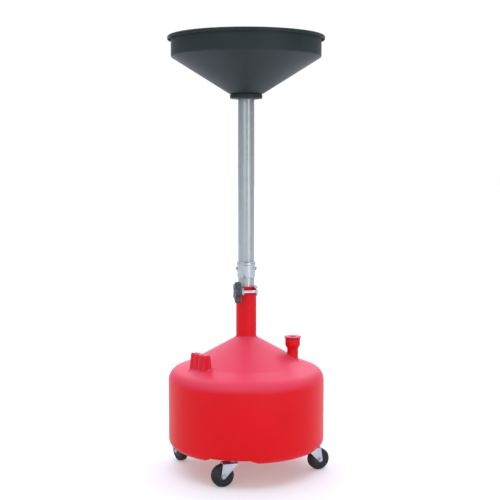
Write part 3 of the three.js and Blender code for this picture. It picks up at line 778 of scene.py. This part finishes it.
def make_knob(place, near):
    """A star knob: rounded lobes round a domed face, on a hub, with a seat for its insert."""
    lobe_bottom = near + KNOB_HUB_LENGTH
    lobe_top = lobe_bottom + KNOB_THICKNESS
    hub = KNOB_HUB_RADIUS
    rings = [
        knob_circle(hub - 3, near), knob_circle(hub - 0.8, near), knob_circle(hub, near + 0.8),
        knob_circle(hub, lobe_bottom - EDGE), knob_circle(hub + EDGE, lobe_bottom),
    ]
    quarters = [math.pi / 2 * step / 6 for step in range(7)]
    for angle in quarters:
        height = lobe_bottom + KNOB_EDGE * (1 - math.cos(angle))
        rings.append(star(KNOB_EDGE * (1 - math.sin(angle)), height))
    for angle in quarters:
        height = lobe_top - 1 - KNOB_EDGE * (1 - math.sin(angle))
        rings.append(star(KNOB_EDGE * (1 - math.cos(angle)), height))
    rings += [
        knob_circle(hub + 2.5, lobe_top - 1.2), knob_circle(hub + 1.5, lobe_top - 0.2),
        knob_circle(hub, lobe_top), knob_circle(hub / 2, lobe_top),
    ]
    knob = lofted("clamp_star_knob", rings)
    shaft = bar("shaft", BOLT_RADIUS + GAP, near - 1, lobe_bottom + 1)
    seat = bar("seat", KNOB_INSERT_RADIUS, lobe_bottom, lobe_bottom + KNOB_INSERT_LENGTH)
    combined(knob, "DIFFERENCE", shaft, seat)
    shown(moved(knob, place), "knob", "knob_plastic", knob_plastic, "clamp_knob", sharp=40)


# ---- Mast --------------------------------------------------------------------------------------


def make_tube(name, node, steel):
    low, high = box_mm(node)
    radius = high.x
    inner = radius - TUBE_WALL
    tube = turned(name, [
        (inner, low.z, FINE_EDGE), (radius, low.z, 0.5), (radius, high.z, 0.5),
        (inner, high.z, FINE_EDGE),
    ], 96, 3)
    shown(tube, "mast", "tube_steel", steel, node)


def make_sleeve():
    """The sleeve over the tubes' joint, with a rolled bead at its top."""
    low, high = box_mm("coupling_sleeve")
    bead = high.x
    sleeve = turned("mast_sleeve", [
        (SLEEVE_BORE, low.z, FINE_EDGE), (SLEEVE_RADIUS, low.z, 0.8),
        (SLEEVE_RADIUS, high.z - BEAD_HEIGHT, 1.5), (bead, high.z - BEAD_HEIGHT + 1.5, BEAD_EDGE),
        (bead, high.z - SOFT_EDGE, SOFT_EDGE), (bead - BEAD_EDGE, high.z, 0.5),
        (SLEEVE_BORE, high.z),
    ], 96, 4)
    shown(sleeve, "mast", "sleeve_steel", sleeve_steel, "coupling_sleeve")


def make_set_screw(side, sign):
    node = f"set_screw_{side}"
    low, high = box_mm(node)
    seat = SLEEVE_RADIUS + GAP
    screw = turned(f"mast_screw_{side}", [
        (0, SLEEVE_BORE), (SCREW_RADIUS, SLEEVE_BORE, 0.4), (SCREW_RADIUS, seat),
        (SCREW_HEAD_RADIUS, seat, FINE_EDGE), (SCREW_HEAD_RADIUS, seat + SCREW_RIM, 1),
        (3, seat + SCREW_HEAD, 1), (0, seat + SCREW_HEAD),
    ], 48, 4)
    corners = [Vector(polar(60 * i, SOCKET_RADIUS)) for i in range(6)]
    floor = seat + SCREW_HEAD - SOCKET_DEPTH
    combined(screw, "DIFFERENCE", extruded("socket", corners, floor, seat + SCREW_HEAD + 2))
    height = (low.z + high.z) / 2
    moved(screw, shift(0, 0, height) @ Matrix.Rotation(sign * math.pi / 2, 4, "Y"))
    shown(screw, "mast", "sleeve_steel", sleeve_steel, node)


# ---- Funnel ------------------------------------------------------------------------------------


def make_bowl():
    low, high = box_mm("funnel_bowl")
    slope = (BAND_BOTTOM - low.z) / (BAND_RADIUS - FOOT_RADIUS)
    lift = BOWL_WALL * math.hypot(1, slope)
    inner = BAND_RADIUS - BOWL_WALL
    foot = low.z + BOWL_WALL
    foot_radius = FOOT_RADIUS + (BOWL_WALL - lift) / slope
    rim = high.x
    bowl = turned("funnel_pan", [
        (BOWL_HOLE, low.z, 0.4),
        (FOOT_RADIUS, low.z, 2),
        (BAND_RADIUS, BAND_BOTTOM, 5),
        (BAND_RADIUS, high.z - LIP_THICKNESS, 2),
        (rim - LIP_THICKNESS, high.z - LIP_THICKNESS, 1),
        (rim - LIP_THICKNESS, high.z - LIP_HEIGHT, 1),
        (rim, high.z - LIP_HEIGHT, 1),
        (rim, high.z, 3.5),
        (inner, high.z, 2.5),
        (inner, foot + slope * (inner - foot_radius), 3),
        (foot_radius, foot, 3),
        (BOWL_HOLE, foot, 0.4),
    ], 192, 6)
    shown(bowl, "mast", "black_poly", black_poly, "funnel_bowl")


def make_collar():
    """The flange nut under the bowl."""
    low, high = box_mm("funnel_collar")
    radius, step = high.x, low.z + COLLAR_STEP
    collar = turned("funnel_flange_nut", [
        (BOWL_HOLE, low.z, 0.5), (COLLAR_FOOT, low.z, SOFT_EDGE), (COLLAR_FOOT + 1, step, SOFT_EDGE),
        (radius - COLLAR_CHAMFER, step, COLLAR_CHAMFER), (radius, low.z + 3, SOFT_EDGE),
        (radius, high.z, 0.8), (BOWL_HOLE, high.z),
    ], 120, 4)
    shown(collar, "mast", "black_poly", black_poly, "funnel_collar")


def make_bowl_seal():
    low, high = box_mm("funnel_gasket")
    seal = turned("funnel_seal", [
        (BOWL_HOLE, low.z, FINE_EDGE), (high.x, low.z, EDGE), (high.x, high.z, EDGE),
        (BOWL_HOLE, high.z, FINE_EDGE),
    ], 96, 3)
    shown(seal, "mast", "rubber", seal_rubber, "funnel_gasket")


def make_lock_ring():
    """The ring nut inside the bowl, with notches for a spanner."""
    low, high = box_mm("funnel_lock_ring")
    ring = turned("funnel_ring_nut", [
        (BOWL_HOLE, low.z, 0.5), (LOCK_RADIUS, low.z, SOFT_EDGE), (LOCK_RADIUS, high.z, 1.5),
        (BOWL_HOLE, high.z, SOFT_EDGE),
    ], 96, 4)
    near, far, half = LOCK_RADIUS - NOTCH_DEPTH, LOCK_RADIUS + 9, NOTCH_WIDTH / 2
    plan = [(near, -half), (far, -half), (far, half), (near, half)]
    for i in range(LOCK_NOTCHES):
        notch = extruded("notch", plan, low.z + NOTCH_FLOOR, high.z + CUT)
        combined(ring, "DIFFERENCE", moved(notch, turn_z(45 + 360 / LOCK_NOTCHES * i)))
    shown(ring, "mast", "black_poly", black_poly, "funnel_lock_ring")


def make_strainer():
    """A disc over the tube's mouth, with a hole in its middle and rings of holes round it."""
    low, high = box_mm("funnel_strainer")
    disc = turned("funnel_screen", [
        (0, low.z), (STRAINER_RADIUS, low.z, 0.4), (STRAINER_RADIUS, high.z, 0.5), (0, high.z),
    ], 96, 3)
    places = [(0, 0)]
    for ring, holes in enumerate(RING_HOLES, 1):
        places += [polar(360 / holes * i, RING_PITCH * ring) for i in range(holes)]
    for x, y in places:
        hole = moved(bar("hole", STRAINER_HOLE, low.z - 1, high.z + 1, 24), shift(x, y))
        combined(disc, "DIFFERENCE", hole)
    shown(disc, "mast", "strainer_steel", sleeve_steel, "funnel_strainer")


# ---- Casters -----------------------------------------------------------------------------------


def axle_height(caster):
    return joint(f"caster_{caster}_wheel_spin")["pos_m"][2] / MM


def along_axle(height):
    """From a swivel's axis to its axle."""
    return shift(TRAIL, 0, height) @ Matrix.Rotation(math.pi / 2, 4, "X")


def make_stem(caster, place):
    """The fixed kingpin: its head, shank and flange, a spacer, and the stem up in the tank's insert."""
    low, high = box_mm(f"caster_{caster}_stem")
    flange = box_mm(f"caster_{caster}_bearing")[1].z + GAP
    stem = turned(f"caster_{caster}_kingpin", [
        (0, low.z), (STEM_HEAD_RADIUS, low.z, 1.2), (STEM_HEAD_RADIUS, low.z + STEM_HEAD, FINE_EDGE),
        (KINGPIN_RADIUS, low.z + STEM_HEAD), (KINGPIN_RADIUS, flange),
        (FLANGE_RADIUS, flange, 0.8), (FLANGE_RADIUS, flange + FLANGE, 0.8),
        (SPACER_RADIUS, flange + FLANGE), (SPACER_RADIUS, POCKET_TOP - GAP, 0.5),
        (STEM_RADIUS, POCKET_TOP - GAP), (STEM_RADIUS, high.z, SOFT_EDGE), (0, high.z),
    ], 48, 3)
    shown(moved(stem, place), "tank", "zinc_steel", zinc_steel, f"caster_{caster}_stem")


def make_race(caster, place):
    """The swivel's bearing ring, with a groove round it."""
    low, high = box_mm(f"caster_{caster}_bearing")
    edge = RACE_RADIUS - EDGE
    race = turned(f"caster_{caster}_race", [
        (KINGPIN_HOLE, low.z, FINE_EDGE), (edge, low.z, EDGE),
        (RACE_RADIUS, low.z + RACE_RIM, EDGE),
        (RACE_RADIUS - RACE_GROOVE, low.z + RACE_GROOVE_HEIGHT, 0.5),
        (RACE_RADIUS, high.z - RACE_RIM, EDGE), (edge, high.z, EDGE),
        (KINGPIN_HOLE, high.z, FINE_EDGE),
    ], 64, 3)
    shown(moved(race, place), f"caster_{caster}_swivel", "zinc_steel", zinc_steel,
          f"caster_{caster}_bearing")


def fork_section(crown):
    """The yoke's section across the wheel: two legs under a crown, with bent corners."""
    outside, below = FORK_INSIDE + FORK_THICKNESS, crown - CROWN_THICKNESS
    inner_bend = FORK_BEND - FORK_THICKNESS
    return rounded([
        (-outside, CHANNEL_FOOT), (-FORK_INSIDE, CHANNEL_FOOT), (-FORK_INSIDE, below, inner_bend),
        (FORK_INSIDE, below, inner_bend), (FORK_INSIDE, CHANNEL_FOOT), (outside, CHANNEL_FOOT),
        (outside, crown, FORK_BEND), (-outside, crown, FORK_BEND),
    ], 5)


def fork_side(crown, axle):
    """The yoke seen from its side: legs that taper to a round end at the axle."""
    below = crown - CROWN_THICKNESS
    outline = [
        (-LEG_BACK, below - FORK_BEND), (-CROWN_BACK, below - 1), (-CROWN_BACK, crown + 9),
        (CROWN_FRONT, crown + 9), (CROWN_FRONT, below),
    ]
    for degrees in range(10, -161, -10):
        x, y = polar(degrees, AXLE_END_RADIUS)
        outline.append((TRAIL + x, axle + y))
    return outline


def make_fork(caster, place):
    """A pressed yoke: a bent channel whose legs taper to the axle."""
    crown = box_mm(f"caster_{caster}_fork")[1].z
    axle = axle_height(caster)
    channel = extruded(f"caster_{caster}_yoke", fork_section(crown), CHANNEL_BACK, CHANNEL_FRONT)
    moved(channel, Matrix(((0, 0, 1, 0), (1, 0, 0, 0), (0, 1, 0, 0), (0, 0, 0, 1))))
    mask = extruded("side", fork_side(crown, axle), -CUTTER, CUTTER)
    moved(mask, Matrix.Rotation(math.pi / 2, 4, "X"))
    combined(channel, "INTERSECT", mask)
    combined(channel, "DIFFERENCE", bar("kingpin_hole", KINGPIN_HOLE, 40, 80, 48))
    axle_hole = moved(bar("axle_hole", AXLE_HOLE, -CUTTER, CUTTER, 32), along_axle(axle))
    combined(channel, "DIFFERENCE", axle_hole)
    bevelled(channel, FORK_BEVEL)
    shown(moved(channel, place), f"caster_{caster}_swivel", "zinc_steel", zinc_steel,
          f"caster_{caster}_fork")


def make_axle(caster, line):
    """The axle bolt, with a domed head."""
    axle = turned(f"caster_{caster}_axle_bolt", [
        (0, -AXLE_SEAT - AXLE_DOME), (4.2, -AXLE_SEAT - AXLE_DOME + 0.2, 2),
        (AXLE_HEAD_RADIUS, -AXLE_SEAT - AXLE_RIM, EDGE), (AXLE_HEAD_RADIUS, -AXLE_SEAT, 0.2),
        (AXLE_RADIUS, -AXLE_SEAT), (AXLE_RADIUS, AXLE_SEAT + AXLE_TIP, EDGE),
        (0, AXLE_SEAT + AXLE_TIP),
    ], 40, 4)
    shown(moved(axle, line), f"caster_{caster}_swivel", "zinc_steel", zinc_steel,
          f"caster_{caster}_axle")


def make_nut(caster, line):
    """The axle's nut: a hexagon with its outer corners turned off."""
    far = AXLE_SEAT + NUT_HEIGHT
    corners = [Vector(polar(60 * i, NUT_RADIUS)) for i in range(6)]
    nut = extruded(f"caster_{caster}_lock_nut", corners, AXLE_SEAT, far)
    edge = NUT_RADIUS - 0.1
    dome = turned("dome", [
        (0, AXLE_SEAT), (edge, AXLE_SEAT), (edge, far - EDGE, EDGE), (edge - NUT_CHAMFER, far, 0.5),
        (0, far),
    ], 48, 3)
    combined(nut, "INTERSECT", dome)
    combined(nut, "DIFFERENCE", bar("thread", NUT_BORE, AXLE_SEAT - 2, far + 4.5, 40))
    shown(moved(nut, line), f"caster_{caster}_swivel", "zinc_steel", zinc_steel,
          f"caster_{caster}_axle_nut")


def make_tyre(caster, line):
    """The tyre, with two fine grooves round its tread."""
    radius, half, groove = axle_height(caster), TYRE_HALF_WIDTH, TREAD_GROOVE
    grooves = [
        (radius, -groove - EDGE, 0.2), (radius - GROOVE_DEPTH, -groove, 0.2),
        (radius, -groove + EDGE, 0.2),
    ]
    grooves += [(r, -h, e) for r, h, e in reversed(grooves)]
    tyre = turned(f"caster_{caster}_tread", [
        (TYRE_BORE, -half, 0.4), (radius - TYRE_SIDE, -half, 1),
        (radius - TYRE_STEP, -half + 1, 1), (radius, -half + TREAD_EDGE, 3), *grooves,
        (radius, half - TREAD_EDGE, 3), (radius - TYRE_STEP, half - 1, 1),
        (radius - TYRE_SIDE, half, 1), (TYRE_BORE, half, 0.4),
    ], 96, 4)
    shown(moved(tyre, line), f"caster_{caster}_wheel", "tyre", tyre_rubber,
          f"caster_{caster}_tyre")


def make_hub(caster, line):
    """The hub, dished between its boss and its rim."""
    side = [
        (HUB_BORE, HUB_HALF_WIDTH, FINE_EDGE), (HUB_FACE, HUB_HALF_WIDTH, 0.8),
        (HUB_FACE + EDGE, HUB_DISH_HALF_WIDTH + 0.8, 1), (HUB_RADIUS - 3.5, HUB_DISH_HALF_WIDTH, 1),
        (HUB_RADIUS - 2, HUB_RIM_HALF_WIDTH, 0.8), (HUB_RADIUS, HUB_RIM_HALF_WIDTH, 0.5),
    ]
    profile = [(radius, -height, edge) for radius, height, edge in side] + side[::-1]
    hub = turned(f"caster_{caster}_hub_disc", profile, 72, 3)
    shown(moved(hub, line), f"caster_{caster}_wheel", "hub_plastic", hub_plastic,
          f"caster_{caster}_hub")


def make_caster(caster):
    """A swivel caster, turned to where its wheel trails at rest."""
    x, y, _ = joint(f"caster_{caster}_swivel_turn")["pos_m"]
    wheel_x, wheel_y, _ = joint(f"caster_{caster}_wheel_spin")["pos_m"]
    stand = shift(x / MM, y / MM)
    place = stand @ turn_z(math.degrees(math.atan2(wheel_y - y, wheel_x - x)))
    line = place @ along_axle(axle_height(caster))
    make_stem(caster, stand)
    make_race(caster, stand)
    make_fork(caster, place)
    make_axle(caster, line)
    make_nut(caster, line)
    make_tyre(caster, line)
    make_hub(caster, line)
    kept(f"caster_{caster}_insert", brass)


# ---- Studio ------------------------------------------------------------------------------------


def make_camera():
    """In front of the drain, somewhat above its middle, looking slightly down."""
    data = bpy.data.cameras.new("camera")
    data.sensor_width = SENSOR
    data.lens = LENS
    camera = bpy.data.objects.new("camera", data)
    camera.location = CAMERA_PLACE
    camera.rotation_euler = (math.radians(90 + CAMERA_PITCH), 0, 0)
    bpy.context.scene.collection.objects.link(camera)
    bpy.context.scene.camera = camera


def make_floor():
    """A white sweep that runs out into grey floor at its sides and far in front of the drain."""
    bpy.ops.mesh.primitive_plane_add(size=FLOOR_SIZE)
    floor = bpy.context.object
    floor.name = "floor"
    material, tree, shader = new_material("pale_floor", specular=0.1)
    place = tree.nodes.new("ShaderNodeTexCoord")
    axes = tree.nodes.new("ShaderNodeSeparateXYZ")
    tree.links.new(place.outputs["Object"], axes.inputs["Vector"])
    aside = tree.nodes.new("ShaderNodeMath")
    aside.operation = "ABSOLUTE"
    tree.links.new(axes.outputs["X"], aside.inputs[0])
    run_out = tree.nodes.new("ShaderNodeMath")
    run_out.operation = "MAXIMUM"
    tree.links.new(spread(tree, aside.outputs["Value"], 0, 1, *SWEEP_SIDE), run_out.inputs[0])
    tree.links.new(spread(tree, axes.outputs["Y"], 0, 1, *SWEEP_FRONT), run_out.inputs[1])
    fade = run_out.outputs["Value"]
    colour = blended(tree, fade, PALE_FLOOR, GREY_FLOOR, 0, 1)
    glow = blended(tree, fade, (1, 1, 1), (0, 0, 0), 0, 1)
    tree.links.new(colour, shader.inputs["Base Color"])
    tree.links.new(glow, shader.inputs["Emission Color"])
    shader.inputs["Emission Strength"].default_value = FLOOR_GLOW
    shader.inputs["Roughness"].default_value = 0.9
    floor.data.materials.append(material)


def soft_light(name, place, target, size, power):
    """A flat light, aimed at a target, that the camera doesn't see."""
    data = bpy.data.lights.new(name, "AREA")
    data.shape = "RECTANGLE"
    data.size, data.size_y = size
    data.energy = power
    light = bpy.data.objects.new(name, data)
    light.location = place
    light.visible_camera = False
    light.rotation_euler = (Vector(target) - Vector(place)).to_track_quat("-Z", "Y").to_euler()
    bpy.context.scene.collection.objects.link(light)


def make_world():
    """A studio with grey walls, a white far wall and a large softbox overhead, behind the drain."""
    world = bpy.data.worlds.new("studio")
    world.use_nodes = True
    tree = world.node_tree
    place = tree.nodes.new("ShaderNodeTexCoord")
    axes = tree.nodes.new("ShaderNodeSeparateXYZ")
    tree.links.new(place.outputs["Generated"], axes.inputs["Vector"])
    towards = tree.nodes.new("ShaderNodeVectorMath")
    towards.operation = "DOT_PRODUCT"
    towards.inputs[1].default_value = SOFTBOX_DIRECTION
    tree.links.new(place.outputs["Generated"], towards.inputs[0])
    walls = blended(tree, axes.outputs["Z"], LOW_WALL, HIGH_WALL, *WALL_FADE)
    far = spread(tree, axes.outputs["Y"], 0, 1, *FAR_WALL_EDGE)
    softbox = spread(tree, towards.outputs["Value"], 0, 1, *SOFTBOX_EDGE)
    colour = walls
    for factor, added in ((far, FAR_WALL), (softbox, SOFTBOX_RADIANCE)):
        mix = tree.nodes.new("ShaderNodeMix")
        mix.data_type = "RGBA"
        mix.inputs["B"].default_value = added
        tree.links.new(factor, mix.inputs["Factor"])
        tree.links.new(colour, mix.inputs["A"])
        colour = mix.outputs["Result"]
    tree.links.new(colour, tree.nodes["Background"].inputs["Color"])
    bpy.context.scene.world = world


def make_studio():
    bpy.context.scene.view_settings.view_transform = "Standard"
    make_world()
    soft_light("key", KEY_PLACE, KEY_TARGET, KEY_SIZE, KEY_POWER)
    soft_light("side", SIDE_PLACE, SIDE_TARGET, SIDE_SIZE, SIDE_POWER)


# ---- The scene, piece by piece -----------------------------------------------------------------

CLAMP_AZIMUTH = math.degrees(math.atan2(*joint("knob_turn")["pos_m"][1::-1]))
tank_outline = tank_corners(0, NECK_RADIUS, box_mm("tank")[1].z, CREASE_CORNER)

make_camera()
make_tank()
make_spout_cap()
make_clamp()
make_tube("mast_upper_tube", "upper_tube", tube_steel)
# The drop tube takes the brighter copy of the zinc, painted light against the shade it mirrors.
make_tube("mast_drop_tube", "drop_tube", drop_steel_painted_bright)
make_sleeve()
make_set_screw("right", 1)
make_set_screw("left", -1)
make_bowl()
make_collar()
make_bowl_seal()
make_lock_ring()
make_strainer()
for caster_name in CASTERS:
    make_caster(caster_name)
make_floor()
make_studio()
